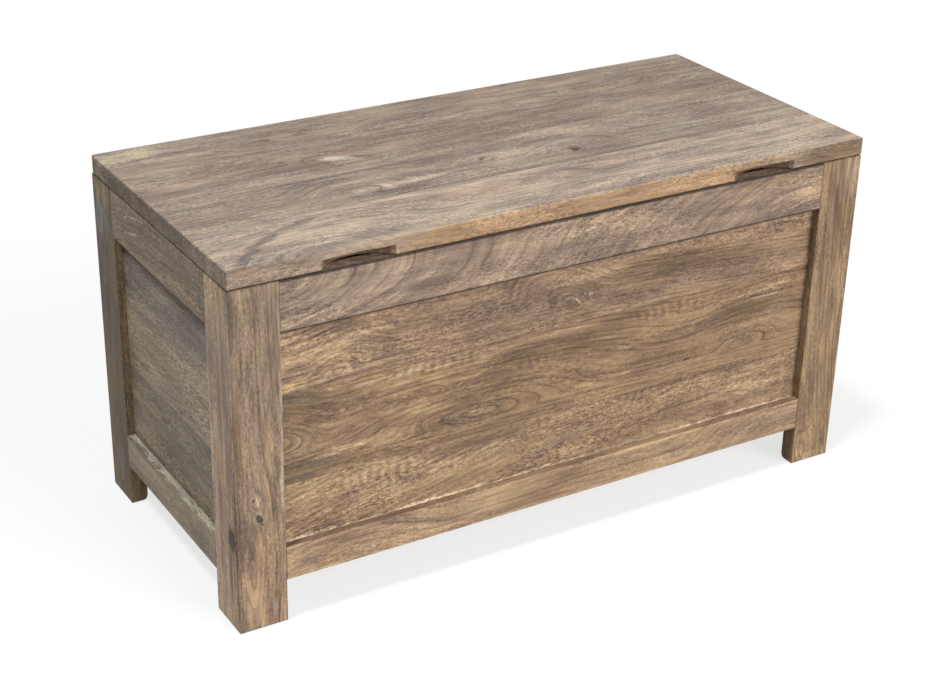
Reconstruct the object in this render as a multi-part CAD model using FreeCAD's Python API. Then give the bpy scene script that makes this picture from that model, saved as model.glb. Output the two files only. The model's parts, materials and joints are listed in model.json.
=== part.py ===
"""Framed and panelled storage chest with a hinged plank lid.

Four frames of legs, rails and thin panels make the box. The front frame laps the ends of the side frames and
the side frames lap the back one, so each corner post is an L of two boards. The lid is glued up from four
boards, swings on two butt hinges let into the back rail, and is held open by a folding stay at the right end.

Millimetres, +Z up, front face towards -Y. The origin is on the floor, at the centre of the whole box.
"""
import FreeCAD, Part
import math
import os

from FreeCAD import Rotation, Vector

# Overall sizes
chest_width = 1000.0
chest_depth = 450.0
chest_height = 522.0

# Frame boards: legs and rails from one stock thickness
board_thickness = 25.0
leg_face_width = 70.0
ground_clearance = 64.0
bottom_rail_height = 50.0
top_rail_height = 71.0
arris_width = 0.8
corner_radius = 2.5
foot_edge_radius = 3.0
back_foot_radius = 9.0
inner_foot_radius = 10.0

# Panels and the frame joints
panel_recess = 12.0
panel_thickness = 8.0
groove_depth = 8.0
groove_clearance = 0.1
panel_end_clearance = 1.0
tenon_length = 25.0
tenon_shoulder = 10.0
mortise_clearance = 0.1
mortise_end_gap = 1.0
front_seam_shares = (0.296, 0.724)
side_seam_shares = (0.27, 0.63)
back_seam_shares = (0.36, 0.69)

# Lid
lid_thickness = 25.0
lid_gap = 2.0
lid_top_radius = 2.5
lid_lower_radius = 1.2
lid_front_corner_radius = 3.0
lid_back_corner_radius = 8.0
lid_seam_shares = (0.267, 0.556, 0.738)
open_angle = 100.0

# Finger pulls cut up into the lid's front edge
pull_width = 105.0
pull_depth = 25.0
pull_height = 13.5
pull_inset = 180.0

# Battens across the underside of the lid
batten_width = 30.0
batten_height = 18.0
batten_length = 340.0
batten_edge_radius = 3.0
batten_screw_shares = (0.1, 0.5, 0.9)
batten_screw_length = 30.0

# Felt pads that the closed lid rests on
pad_radius = 6.0
pad_inset = 90.0
pad_clearance = 0.3

# Floor boards on cleats
floor_thickness = 12.0
floor_board_count = 4
floor_board_gap = 1.0
floor_edge_clearance = 1.0
cleat_width = 20.0
cleat_height = 20.0
cleat_screw_length = 34.0
long_cleat_screw_shares = (0.06, 0.36, 0.64, 0.94)
short_cleat_screw_shares = (0.15, 0.85)

# Butt hinges
hinge_inset = 200.0
leaf_length = 75.0
leaf_width = 22.0
leaf_thickness = 2.0
leaf_gap = 0.6
leaf_fit_clearance = 0.1
knuckle_count = 3
knuckle_gap = 0.4
barrel_radius = 3.5
barrel_clearance = 0.5
pin_radius = 2.0
pin_clearance = 0.05
leaf_screw_along_shares = (-0.34, 0.0, 0.34)
leaf_screw_across_shares = (0.68, 0.5, 0.68)
leaf_screw_length = 16.0

# Countersunk wood screws
screw_shank_radius = 1.75
screw_head_radius = 3.4
screw_head_height = 1.6
screw_sides = 8
screw_clearance = 0.05

# Folding lid stay
stay_reach = 107.0
stay_arm_width = 14.0
stay_arm_thickness = 2.0
stay_arm_gap = 0.3
stay_running_clearance = 0.15
stay_pivot_inset = 22.0
stay_pivot_drop = 116.0
stay_eye_radius = 2.5
stay_collar_radius = 5.0
stay_collar_height = 1.2
stay_head_radius = 4.5
stay_head_height = 1.5
stay_rivet_head_height = 0.8
stay_thread_radius = 1.8
stay_thread_length = 14.0
stay_lug_radius = 2.5
stay_lug_reach = 12.0
stay_lug_clearance = 0.1

# Flat sides that stand for the round of a small turned metal piece
turned_sides = 16

# How far a cutting solid runs past what it cuts
overrun = 5.0

# Places worked out from the sizes
carcass_height = chest_height - lid_thickness - lid_gap
lid_underside = chest_height - lid_thickness
front_y = -(chest_depth + barrel_radius) / 2
back_y = front_y + chest_depth
left_x = -chest_width / 2
right_x = chest_width / 2
inner_width = chest_width - 2 * board_thickness
inner_depth = chest_depth - 2 * board_thickness
inner_front_y = front_y + board_thickness
inner_back_y = back_y - board_thickness
inner_right_x = right_x - board_thickness
opening_bottom = ground_clearance + bottom_rail_height
opening_top = carcass_height - top_rail_height
axis_y = back_y
axis_z = carcass_height + lid_gap / 2

square = (0, 0, 0, 0)
pieces = {}


def box(low, high):
    """Block between two opposite corners."""
    size = Vector(*high) - Vector(*low)
    return Part.makeBox(size.x, size.y, size.z, Vector(*low))


def rod(radius, start, end):
    """Round bar between two points."""
    way = Vector(*end) - Vector(*start)
    return Part.makeCylinder(radius, way.Length, Vector(*start), way)


def many_sided(radius, sides, level=0):
    """Closed outline round the Z axis, on a level, with corners at a radius."""
    corners = []
    for index in range(sides + 1):
        angle = 2 * math.pi * index / sides
        corners.append(Vector(radius * math.cos(angle), radius * math.sin(angle), level))
    return Part.makePolygon(corners)


def turned(radius, start, end):
    """Small turned bar between two points, drawn with flat sides to keep the hardware light."""
    way = Vector(*end) - Vector(*start)
    bar = Part.Face(many_sided(radius, turned_sides)).extrude(Vector(0, 0, way.Length))
    bar.Placement = FreeCAD.Placement(Vector(*start), Rotation(Vector(0, 0, 1), way))
    return bar


def eased_rectangle(width, height, radii):
    """Flat rectangle from the origin, with corner radii anticlockwise from the corner at the origin.

    A corner no larger than an arris is planed off flat, and a larger one is round.
    """
    corners = [Vector(0, 0), Vector(width, 0), Vector(width, height), Vector(0, height)]
    ways = [Vector(1, 0), Vector(0, 1), Vector(-1, 0), Vector(0, -1)]
    edges = []
    starts = []
    ends = []
    for corner, before, after, radius in zip(corners, ways[-1:] + ways[:-1], ways, radii):
        start = corner - before * radius
        end = corner + after * radius
        starts.append(start)
        ends.append(end)
        if radius > arris_width:
            inward = after - before
            middle = corner + inward * (radius * (1 - math.sqrt(0.5)))
            edges.append(Part.Arc(start, middle, end).toShape())
        elif radius:
            edges.append(Part.LineSegment(start, end).toShape())
    for end, start in zip(ends, starts[1:] + starts[:1]):
        edges.append(Part.LineSegment(end, start).toShape())
    return Part.Face(Part.Wire(Part.__sortEdges__(edges)))


def eased_board(length, depth, height, plan=square, elevation=square, section=square):
    """Board from the origin along X, Y and Z whose edges are rounded as seen from each of the three sides."""
    solid = eased_rectangle(length, depth, plan).extrude(Vector(0, 0, height))
    if any(elevation):
        front = eased_rectangle(length, height, elevation)
        front.Placement.Rotation = Rotation(Vector(1, 0, 0), 90)
        solid = solid.common(front.extrude(Vector(0, depth, 0)))
    if any(section):
        end = eased_rectangle(depth, height, section)
        end.Placement.Rotation = Rotation(Vector(1, 1, 1), 120)
        solid = solid.common(end.extrude(Vector(length, 0, 0)))
    return solid


def moved(shape, x, y, z):
    """The shape shifted by a distance along each axis."""
    copy = shape.copy()
    copy.translate(Vector(x, y, z))
    return copy


def one_solid(shape):
    """The single solid that a boolean result holds."""
    solids = shape.Solids
    if len(solids) != 1:
        raise ValueError("expected one solid, found %d" % len(solids))
    return solids[0]


# Countersunk screws, and the holes that they sit in


def screw_at(length, place, way, clearance=0.0):
    """Screw with its head at a place, driven along a direction. With a clearance it is the hole for one."""
    head = screw_head_radius + clearance
    shank = screw_shank_radius + clearance
    rings = [
        many_sided(head, screw_sides),
        many_sided(shank, screw_sides, -screw_head_height),
        many_sided(shank, screw_sides, -length - clearance),
    ]
    form = Part.makeLoft(rings, True, True)
    form.Placement = FreeCAD.Placement(Vector(*place), Rotation(Vector(0, 0, -1), Vector(*way)))
    return form


def drive_screws(group, length, drives, through):
    """Put a group of screws, each a place and a direction, in one node and drill what they pass through."""
    pieces[group] = Part.makeCompound([screw_at(length, place, way) for place, way in drives])
    for name in through:
        for place, way in drives:
            hole = screw_at(length, place, way, screw_clearance)
            if hole.common(pieces[name]).Volume:
                pieces[name] = one_solid(pieces[name].cut(hole))


# The four frames: each is made flat, along X, with its outer face on y = 0 and its feet on z = 0


def leg_board(width, laps, end):
    """Leg board with its outer edge on x = 0. One that laps the next frame has the chest's rounded corner."""
    foot_radius = back_foot_radius if end == "back" else foot_edge_radius
    outer_corner = corner_radius if laps else 0
    outer_foot = foot_radius if laps else 0
    outer_top = arris_width if laps else 0
    board = eased_board(
        width,
        board_thickness,
        carcass_height,
        plan=(outer_corner, arris_width, 0, 0),
        elevation=(outer_foot, foot_edge_radius, 0, outer_top),
        section=(foot_edge_radius, 0, arris_width, arris_width),
    )
    free_from = board_thickness if laps else 0
    round_y = board_thickness - inner_foot_radius
    foot_edge = box(
        (free_from, round_y, -overrun),
        (width + overrun, board_thickness + overrun, inner_foot_radius),
    )
    foot_round = rod(
        inner_foot_radius,
        (free_from, round_y, inner_foot_radius),
        (width + overrun, round_y, inner_foot_radius),
    )
    board = board.cut(foot_edge.cut(foot_round))
    groove = box(
        (width - groove_depth, panel_recess - groove_clearance, opening_bottom - groove_depth),
        (width + overrun, panel_recess + panel_thickness + groove_clearance, opening_top + groove_depth),
    )
    board = board.cut(groove)
    for low, height in ((ground_clearance, bottom_rail_height), (opening_top, top_rail_height)):
        mortise = box(
            (
                width - tenon_length - mortise_end_gap,
                panel_recess - mortise_clearance,
                low + tenon_shoulder - mortise_clearance,
            ),
            (
                width + overrun,
                panel_recess + panel_thickness + mortise_clearance,
                low + height - tenon_shoulder + mortise_clearance,
            ),
        )
        board = board.cut(mortise)
    return one_solid(board)


def rail(start, end, low, height, groove_low):
    """Rail between two legs, tenoned at both ends and grooved along the edge that holds the panel."""
    board = eased_board(
        end - start,
        board_thickness,
        height,
        plan=(arris_width, arris_width, 0, 0),
        section=(arris_width, 0, 0, arris_width),
    )
    board = moved(board, start, 0, low)
    tenon = box(
        (start - tenon_length, panel_recess, low + tenon_shoulder),
        (end + tenon_length, panel_recess + panel_thickness, low + height - tenon_shoulder),
    )
    groove = box(
        (start - overrun, panel_recess - groove_clearance, groove_low),
        (end + overrun, panel_recess + panel_thickness + groove_clearance, groove_low + groove_depth),
    )
    return one_solid(board.cut(groove).fuse(tenon).removeSplitter())


def panel_boards(start, end, seam_shares):
    """Boards of one panel from top to bottom, glued edge to edge and held in the frame's grooves."""
    tongue = groove_depth - panel_end_clearance
    opening_height = opening_top - opening_bottom
    seams = [opening_top - share * opening_height for share in seam_shares]
    levels = [opening_top + tongue] + seams + [opening_bottom - tongue]
    boards = []
    for high, low in zip(levels, levels[1:]):
        boards.append(
            box(
                (start - tongue, panel_recess, low),
                (end + tongue, panel_recess + panel_thickness, high),
            )
        )
    return boards


def add_frame(name, length, legs, seam_shares, angle, place):
    """Make one frame flat, then turn it about Z and set it in the chest."""
    (first, first_width, first_laps), (last, last_width, last_laps) = legs
    start = first_width
    end = length - last_width
    made = {}
    made[name + "_leg_" + first] = leg_board(first_width, first_laps, first)
    mirrored = leg_board(last_width, last_laps, last)
    made[name + "_leg_" + last] = mirrored.mirror(Vector(length / 2, 0, 0), Vector(1, 0, 0))
    made[name + "_top_rail"] = rail(start, end, opening_top, top_rail_height, opening_top)
    made[name + "_bottom_rail"] = rail(
        start, end, ground_clearance, bottom_rail_height, opening_bottom - groove_depth
    )
    for level, board in zip(("top", "middle", "bottom"), panel_boards(start, end, seam_shares)):
        made[name + "_panel_" + level + "_board"] = board
    for node, shape in made.items():
        shape.Placement = FreeCAD.Placement(Vector(*place), Rotation(Vector(0, 0, 1), angle))
        pieces[node] = shape


lapped_width = leg_face_width - board_thickness
side_length = chest_depth - board_thickness

add_frame(
    "front",
    chest_width,
    (("left", leg_face_width, True), ("right", leg_face_width, True)),
    front_seam_shares,
    0,
    (left_x, front_y, 0),
)
add_frame(
    "left",
    side_length,
    (("back", leg_face_width, True), ("front", lapped_width, False)),
    side_seam_shares,
    -90,
    (left_x, back_y, 0),
)
add_frame(
    "right",
    side_length,
    (("front", lapped_width, False), ("back", leg_face_width, True)),
    side_seam_shares,
    90,
    (right_x, inner_front_y, 0),
)
add_frame(
    "back",
    inner_width,
    (("right", lapped_width, False), ("left", lapped_width, False)),
    back_seam_shares,
    180,
    (inner_right_x, back_y, 0),
)

# Floor: four boards lie loose on cleats that are screwed to the bottom rails

cleat_top = ground_clearance + cleat_height
side_cleat_length = inner_depth - 2 * cleat_width
half_inner = inner_width / 2

long_cleat = eased_board(inner_width, cleat_width, cleat_height)
short_cleat = eased_board(cleat_width, side_cleat_length, cleat_height)
pieces["floor_cleat_front"] = moved(long_cleat, -half_inner, inner_front_y, ground_clearance)
pieces["floor_cleat_back"] = moved(long_cleat, -half_inner, inner_back_y - cleat_width, ground_clearance)
pieces["floor_cleat_left"] = moved(short_cleat, -half_inner, inner_front_y + cleat_width, ground_clearance)
pieces["floor_cleat_right"] = moved(
    short_cleat, half_inner - cleat_width, inner_front_y + cleat_width, ground_clearance
)

floor_depth = inner_depth - 2 * floor_edge_clearance
floor_pitch = (floor_depth + floor_board_gap) / floor_board_count
floor_board = eased_board(
    inner_width - 2 * floor_edge_clearance,
    floor_pitch - floor_board_gap,
    floor_thickness,
    section=(0, 0, arris_width, arris_width),
)
for index in range(floor_board_count):
    pieces["floor_board_%d" % (index + 1)] = moved(
        floor_board,
        floor_edge_clearance - half_inner,
        inner_front_y + floor_edge_clearance + index * floor_pitch,
        cleat_top,
    )

cleat_middle = ground_clearance + cleat_height / 2
cleat_drives = []
for share in long_cleat_screw_shares:
    along_x = share * inner_width - half_inner
    cleat_drives.append(((along_x, inner_front_y + cleat_width, cleat_middle), (0, -1, 0)))
    cleat_drives.append(((along_x, inner_back_y - cleat_width, cleat_middle), (0, 1, 0)))
for share in short_cleat_screw_shares:
    along_y = inner_front_y + cleat_width + share * side_cleat_length
    cleat_drives.append(((cleat_width - half_inner, along_y, cleat_middle), (-1, 0, 0)))
    cleat_drives.append(((half_inner - cleat_width, along_y, cleat_middle), (1, 0, 0)))
sides = ("front", "back", "left", "right")
drilled = ["floor_cleat_" + side for side in sides] + [side + "_bottom_rail" for side in sides]
drive_screws("cleat_screws", cleat_screw_length, cleat_drives, drilled)

# Lid: one eased slab, parted along its glue lines, with the finger pulls in its front board

lid_blank = eased_board(
    chest_width,
    chest_depth,
    lid_thickness,
    plan=(lid_front_corner_radius, lid_front_corner_radius, lid_back_corner_radius, lid_back_corner_radius),
    elevation=(lid_lower_radius, lid_lower_radius, lid_top_radius, lid_top_radius),
    section=(lid_lower_radius, lid_lower_radius, lid_top_radius, lid_top_radius),
)
lid_blank = moved(lid_blank, left_x, front_y, lid_underside)

pull_radius = (pull_width ** 2 / 4 + pull_depth ** 2) / (2 * pull_depth)
for pull_x in (left_x + pull_inset, right_x - pull_inset):
    pull_y = front_y + pull_depth - pull_radius
    pull = rod(
        pull_radius,
        (pull_x, pull_y, lid_underside - overrun),
        (pull_x, pull_y, lid_underside + pull_height),
    )
    lid_blank = lid_blank.cut(pull)

lid_lines = [0] + [share * chest_depth for share in lid_seam_shares] + [chest_depth]
lid_names = ("lid_front_board", "lid_second_board", "lid_third_board", "lid_back_board")
for name, near, far in zip(lid_names, lid_lines, lid_lines[1:]):
    slab = box(
        (left_x - overrun, front_y + near, lid_underside - overrun),
        (right_x + overrun, front_y + far, chest_height + overrun),
    )
    pieces[name] = one_solid(lid_blank.common(slab))

# Battens screwed across the lid's underside, just inside the side frames

stay_stack = 2 * (stay_collar_height + stay_running_clearance + stay_arm_thickness) + stay_arm_gap
batten_outer_x = inner_right_x - stay_stack
batten_middle_y = (inner_front_y + inner_back_y) / 2
batten_low = lid_underside - batten_height
batten = eased_board(
    batten_width,
    batten_length,
    batten_height,
    elevation=(batten_edge_radius, batten_edge_radius, 0, 0),
    section=(batten_edge_radius, batten_edge_radius, 0, 0),
)
batten_y = batten_middle_y - batten_length / 2
pieces["lid_batten_left"] = moved(batten, -batten_outer_x, batten_y, batten_low)
pieces["lid_batten_right"] = moved(batten, batten_outer_x - batten_width, batten_y, batten_low)
batten_centre_x = batten_outer_x - batten_width / 2
batten_drives = []
for place_x in (-batten_centre_x, batten_centre_x):
    for share in batten_screw_shares:
        batten_drives.append(((place_x, batten_y + share * batten_length, batten_low), (0, 0, 1)))
drive_screws(
    "batten_screws",
    batten_screw_length,
    batten_drives,
    ("lid_batten_left", "lid_batten_right") + lid_names,
)

# Felt pads under the lid's front corners

pad_y = front_y + board_thickness / 2
pads = []
for pad_x in (left_x + pad_inset, right_x - pad_inset):
    pads.append(rod(pad_radius, (pad_x, pad_y, carcass_height + pad_clearance), (pad_x, pad_y, lid_underside)))
pieces["lid_pads"] = Part.makeCompound(pads)

# Butt hinges: the pin's axis lies in the plane of the back face, half way up the lid's gap


def knuckles(middle_x, first, radius, gap):
    """Barrel lengths of one leaf: every second knuckle, counted from the left end."""
    pitch = leaf_length / knuckle_count
    left = middle_x - leaf_length / 2
    lengths = []
    for index in range(first, knuckle_count, 2):
        start = left + index * pitch + gap / 2
        end = left + (index + 1) * pitch - gap / 2
        lengths.append(turned(radius, (start, axis_y, axis_z), (end, axis_y, axis_z)))
    return lengths


def hinge_leaf(middle_x, first, low):
    """Leaf plate on a level, rolled round the pin at its own knuckles and cut away at the other leaf's."""
    left = middle_x - leaf_length / 2
    leaf = box((left, axis_y - leaf_width, low), (left + leaf_length, axis_y, low + leaf_thickness))
    for other in knuckles(middle_x, 1 - first, barrel_radius + knuckle_gap, 0):
        leaf = leaf.cut(other)
    for own in knuckles(middle_x, first, barrel_radius, knuckle_gap):
        leaf = leaf.fuse(own)
    reach = leaf_length / 2 + overrun
    bore_radius = pin_radius + pin_clearance
    bore = turned(bore_radius, (middle_x - reach, axis_y, axis_z), (middle_x + reach, axis_y, axis_z))
    return leaf.cut(bore)


def leaf_pocket(middle_x, low, high):
    """Shallow recess that a leaf is let into."""
    half = leaf_length / 2 + leaf_fit_clearance
    front = axis_y - leaf_width - leaf_fit_clearance
    return box((middle_x - half, front, low), (middle_x + half, axis_y, high))


def barrel_recess(middle_x):
    """Round channel for the barrel in the back edges of the rail and the lid."""
    half = leaf_length / 2 + barrel_clearance
    radius = barrel_radius + barrel_clearance
    return turned(radius, (middle_x - half, axis_y, axis_z), (middle_x + half, axis_y, axis_z))


fixed_leaf_top = axis_z - leaf_gap / 2
fixed_leaf_low = fixed_leaf_top - leaf_thickness
lid_leaf_low = axis_z + leaf_gap / 2
lid_leaf_top = lid_leaf_low + leaf_thickness
rail_drives = []
lid_drives = []
for side, middle_x in (("left", left_x + hinge_inset), ("right", right_x - hinge_inset)):
    fixed_name = "hinge_fixed_leaf_" + side
    lid_name = "hinge_lid_leaf_" + side
    pieces[fixed_name] = one_solid(hinge_leaf(middle_x, 0, fixed_leaf_low))
    pieces[lid_name] = one_solid(hinge_leaf(middle_x, 1, lid_leaf_low))
    half = leaf_length / 2
    pin = turned(pin_radius, (middle_x - half, axis_y, axis_z), (middle_x + half, axis_y, axis_z))
    pieces["hinge_pin_" + side] = pin
    rail_pocket = leaf_pocket(middle_x, fixed_leaf_low, lid_underside)
    lid_pocket = leaf_pocket(middle_x, carcass_height, lid_leaf_top)
    recess = barrel_recess(middle_x)
    pieces["back_top_rail"] = one_solid(pieces["back_top_rail"].cut(rail_pocket).cut(recess))
    pieces["lid_back_board"] = one_solid(pieces["lid_back_board"].cut(lid_pocket).cut(recess))
    for along, across in zip(leaf_screw_along_shares, leaf_screw_across_shares):
        screw_x = middle_x + along * leaf_length
        screw_y = axis_y - across * leaf_width
        rail_drives.append(((screw_x, screw_y, fixed_leaf_top), (0, 0, -1)))
        lid_drives.append(((screw_x, screw_y, lid_leaf_low), (0, 0, 1)))

drive_screws(
    "hinge_screws_rail",
    leaf_screw_length,
    rail_drives,
    ("hinge_fixed_leaf_left", "hinge_fixed_leaf_right", "back_top_rail"),
)
drive_screws(
    "hinge_screws_lid",
    leaf_screw_length,
    lid_drives,
    ("hinge_lid_leaf_left", "hinge_lid_leaf_right", "lid_back_board"),
)

# Folding stay: its arms make a parallelogram with the lid and the side, so the lower arm turns with the lid
# and the upper arm keeps its slope. A lug on the lower arm meets the upper arm when the lid is fully open.

upper_pivot = Vector(0, axis_y - stay_reach, lid_underside - batten_height / 2)
lower_pivot = Vector(0, inner_back_y - stay_pivot_inset, axis_z - stay_pivot_drop)
hinge_axis = Vector(0, axis_y, axis_z)
elbow = lower_pivot + upper_pivot - hinge_axis

lower_arm_outer = inner_right_x - stay_collar_height - stay_running_clearance
lower_arm_inner = lower_arm_outer - stay_arm_thickness
upper_arm_outer = lower_arm_inner - stay_arm_gap
upper_arm_inner = upper_arm_outer - stay_arm_thickness


def at_x(x, point):
    """The point of the stay's plane moved to a distance along X."""
    return (x, point.y, point.z)


def arm(start, end, radius, inner_x, outer_x):
    """Flat bar with round ends about two points."""
    along = (end - start).normalize()
    across = Vector(0, -along.z, along.y) * radius
    nose = end + along * radius
    tail = start - along * radius
    edges = [
        Part.LineSegment(start + across, end + across).toShape(),
        Part.Arc(end + across, nose, end - across).toShape(),
        Part.LineSegment(end - across, start - across).toShape(),
        Part.Arc(start - across, tail, start + across).toShape(),
    ]
    bar = Part.Face(Part.Wire(edges)).extrude(Vector(outer_x - inner_x, 0, 0))
    return moved(bar, inner_x, 0, 0)


def eye(point, clearance):
    """Cutter for an arm's eye."""
    return turned(stay_eye_radius + clearance, at_x(upper_arm_inner - overrun, point), at_x(right_x, point))


upper_direction = (upper_pivot - elbow).normalize()
turn = Rotation(Vector(1, 0, 0), open_angle)
open_direction = turn.multVec(upper_direction)
far_side = Vector(0, -open_direction.z, open_direction.y)
lug_offset = stay_arm_width / 2 + stay_lug_radius + stay_lug_clearance
lug = elbow + open_direction * stay_lug_reach + far_side * lug_offset

half_arm = stay_arm_width / 2
lower_arm = arm(lower_pivot, elbow, half_arm, lower_arm_inner, lower_arm_outer)
lower_arm = lower_arm.fuse(arm(elbow, lug, stay_lug_radius, lower_arm_inner, lower_arm_outer))
lower_arm = lower_arm.fuse(turned(stay_lug_radius, at_x(upper_arm_inner, lug), at_x(lower_arm_outer, lug)))
lower_arm = lower_arm.removeSplitter()
lower_arm = lower_arm.cut(eye(lower_pivot, pin_clearance)).cut(eye(elbow, pin_clearance))
pieces["stay_lower_arm"] = one_solid(lower_arm)

upper_arm = arm(upper_pivot, elbow, half_arm, upper_arm_inner, upper_arm_outer)
upper_arm = upper_arm.cut(eye(upper_pivot, pin_clearance)).cut(eye(elbow, pin_clearance))
pieces["stay_upper_arm"] = one_solid(upper_arm)


def pivot_screw(point, wood_x, way):
    """Shouldered screw: thread in the wood, collar against it, shoulder through the arm, head beyond."""
    collar_x = wood_x + way * stay_collar_height
    head_x = collar_x + way * (stay_arm_thickness + 2 * stay_running_clearance)
    head_end = head_x + way * stay_head_height
    thread = turned(stay_thread_radius, at_x(wood_x - way * stay_thread_length, point), at_x(wood_x, point))
    collar = turned(stay_collar_radius, at_x(wood_x, point), at_x(collar_x, point))
    shoulder = turned(stay_eye_radius, at_x(collar_x, point), at_x(head_x, point))
    head = turned(stay_head_radius, at_x(head_x, point), at_x(head_end, point))
    return one_solid(thread.fuse(collar).fuse(shoulder).fuse(head))


def thread_hole(point, wood_x, way):
    """Pilot hole for a pivot screw's thread."""
    radius = stay_thread_radius + screw_clearance
    depth = stay_thread_length + mortise_end_gap
    return turned(radius, at_x(wood_x - way * depth, point), at_x(wood_x + way * overrun, point))


pieces["stay_lower_pivot"] = pivot_screw(lower_pivot, inner_right_x, -1)
pieces["right_leg_back"] = one_solid(pieces["right_leg_back"].cut(thread_hole(lower_pivot, inner_right_x, -1)))
pieces["stay_upper_pivot"] = pivot_screw(upper_pivot, batten_outer_x, 1)
batten_hole = thread_hole(upper_pivot, batten_outer_x, 1)
pieces["lid_batten_right"] = one_solid(pieces["lid_batten_right"].cut(batten_hole))

rivet_outer = lower_arm_outer + stay_rivet_head_height
rivet_inner = upper_arm_inner - stay_running_clearance - stay_rivet_head_height
rivet = turned(stay_eye_radius, at_x(rivet_inner, elbow), at_x(rivet_outer, elbow))
rivet = rivet.fuse(turned(stay_head_radius, at_x(lower_arm_outer, elbow), at_x(rivet_outer, elbow)))
inner_head_x = upper_arm_inner - stay_running_clearance
rivet = rivet.fuse(turned(stay_head_radius, at_x(rivet_inner, elbow), at_x(inner_head_x, elbow)))
pieces["stay_elbow_rivet"] = one_solid(rivet)

# One file for each piece

os.makedirs("parts", exist_ok=True)
for name, shape in pieces.items():
    if not shape.isValid():
        raise ValueError("bad solid in " + name)
    shape.exportStep(os.path.join("parts", name + ".step"))

print(len(pieces), "pieces")
print("hinge axis y %.2f z %.2f" % (axis_y, axis_z))
print("stay lower pivot y %.2f z %.2f" % (lower_pivot.y, lower_pivot.z))
print("stay upper pivot y %.2f z %.2f" % (upper_pivot.y, upper_pivot.z))
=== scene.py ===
import json
import math

import bpy
from mathutils import Matrix, Vector

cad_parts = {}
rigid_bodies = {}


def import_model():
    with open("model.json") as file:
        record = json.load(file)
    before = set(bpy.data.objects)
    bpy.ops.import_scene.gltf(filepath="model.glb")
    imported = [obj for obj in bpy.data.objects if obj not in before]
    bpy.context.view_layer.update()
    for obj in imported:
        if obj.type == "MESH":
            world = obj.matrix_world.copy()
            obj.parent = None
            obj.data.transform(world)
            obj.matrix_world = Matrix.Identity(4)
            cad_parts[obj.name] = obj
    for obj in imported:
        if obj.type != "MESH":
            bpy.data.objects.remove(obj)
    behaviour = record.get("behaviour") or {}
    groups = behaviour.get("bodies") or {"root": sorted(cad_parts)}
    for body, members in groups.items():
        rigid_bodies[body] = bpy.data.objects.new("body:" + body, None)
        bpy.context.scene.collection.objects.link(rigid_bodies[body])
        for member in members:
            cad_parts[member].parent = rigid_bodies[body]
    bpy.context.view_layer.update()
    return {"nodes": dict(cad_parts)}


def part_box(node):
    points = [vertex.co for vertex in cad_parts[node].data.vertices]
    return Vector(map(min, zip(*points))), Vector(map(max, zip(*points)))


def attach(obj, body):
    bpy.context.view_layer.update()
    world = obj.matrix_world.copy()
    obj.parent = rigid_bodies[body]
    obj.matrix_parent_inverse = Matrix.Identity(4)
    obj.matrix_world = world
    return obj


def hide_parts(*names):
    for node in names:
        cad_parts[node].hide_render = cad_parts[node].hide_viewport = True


for leftover in list(bpy.data.objects):
    bpy.data.objects.remove(leftover)
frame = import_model()


# The front panel: three boards of a figured hardwood, glued edge to edge and let into grooves in the frame.
# The wood was brushed along the grain, washed with a grey-brown stain and waxed, so every board keeps its
# own knots, growth rings and streaks.

class Socket:
    """An output of a shader node. Python's operators on it add Math nodes to its tree."""

    def __init__(self, tree, output=None):
        self.tree = tree
        self.output = output

    def node(self, kind, settings, sockets, output=0):
        """Adds a node of a type, with its settings, then the values or links of its sockets."""
        made = self.tree.nodes.new("ShaderNode" + kind)
        for setting, value in settings.items():
            setattr(made, setting, value)
        for name, value in sockets.items():
            if isinstance(value, Socket):
                self.tree.links.new(value.output, made.inputs[name])
            else:
                made.inputs[name].default_value = value
        return Socket(self.tree, made.outputs[output])

    def feeds(self, shader, socket):
        self.tree.links.new(self.output, shader.inputs[socket])

    def maths(self, operation, *others):
        sockets = dict(enumerate((self,) + others))
        return self.node("Math", {"operation": operation}, sockets)

    def ramp(self, start, end, before=0.0, after=1.0):
        """before up to start, after from end on, and a smooth step between them."""
        sockets = {"Value": self, "From Min": start, "From Max": end, "To Min": before, "To Max": after}
        return self.node("MapRange", {"interpolation_type": "SMOOTHSTEP"}, sockets, "Result")

    def mixed(self, first, second):
        """Two colours mixed, with this value as the share of the second."""
        # The node's sockets for colours are its inputs 6 and 7 and its output 2.
        ends = [end if isinstance(end, Socket) else (*end, 1.0) for end in (first, second)]
        return self.node("Mix", {"data_type": "RGBA"}, {0: self, 6: ends[0], 7: ends[1]}, 2)

    def shaded(self, strength):
        """This colour, scaled by a value."""
        return self.node("VectorMath", {"operation": "SCALE"}, {0: self, "Scale": strength})

    def tinted(self, *tint):
        """This colour, with its red, green and blue scaled apart."""
        return self.node("VectorMath", {"operation": "MULTIPLY"}, {0: self, 1: tint})

    def __add__(self, other):
        return self.maths("ADD", other)

    __radd__ = __add__

    def __sub__(self, other):
        return self.maths("SUBTRACT", other)

    def __rsub__(self, other):
        return self.node("Math", {"operation": "SUBTRACT"}, {0: other, 1: self})

    def __mul__(self, other):
        return self.maths("MULTIPLY", other)

    __rmul__ = __mul__


def blank(name):
    """A new material, its shader, and a socket to start its node tree from."""
    material = bpy.data.materials.new(name)
    material.use_nodes = True
    tree = material.node_tree
    return material, tree.nodes["Principled BSDF"], Socket(tree)


def finish(node, material):
    for slot in frame["nodes"][node].material_slots:
        slot.material = material


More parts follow.
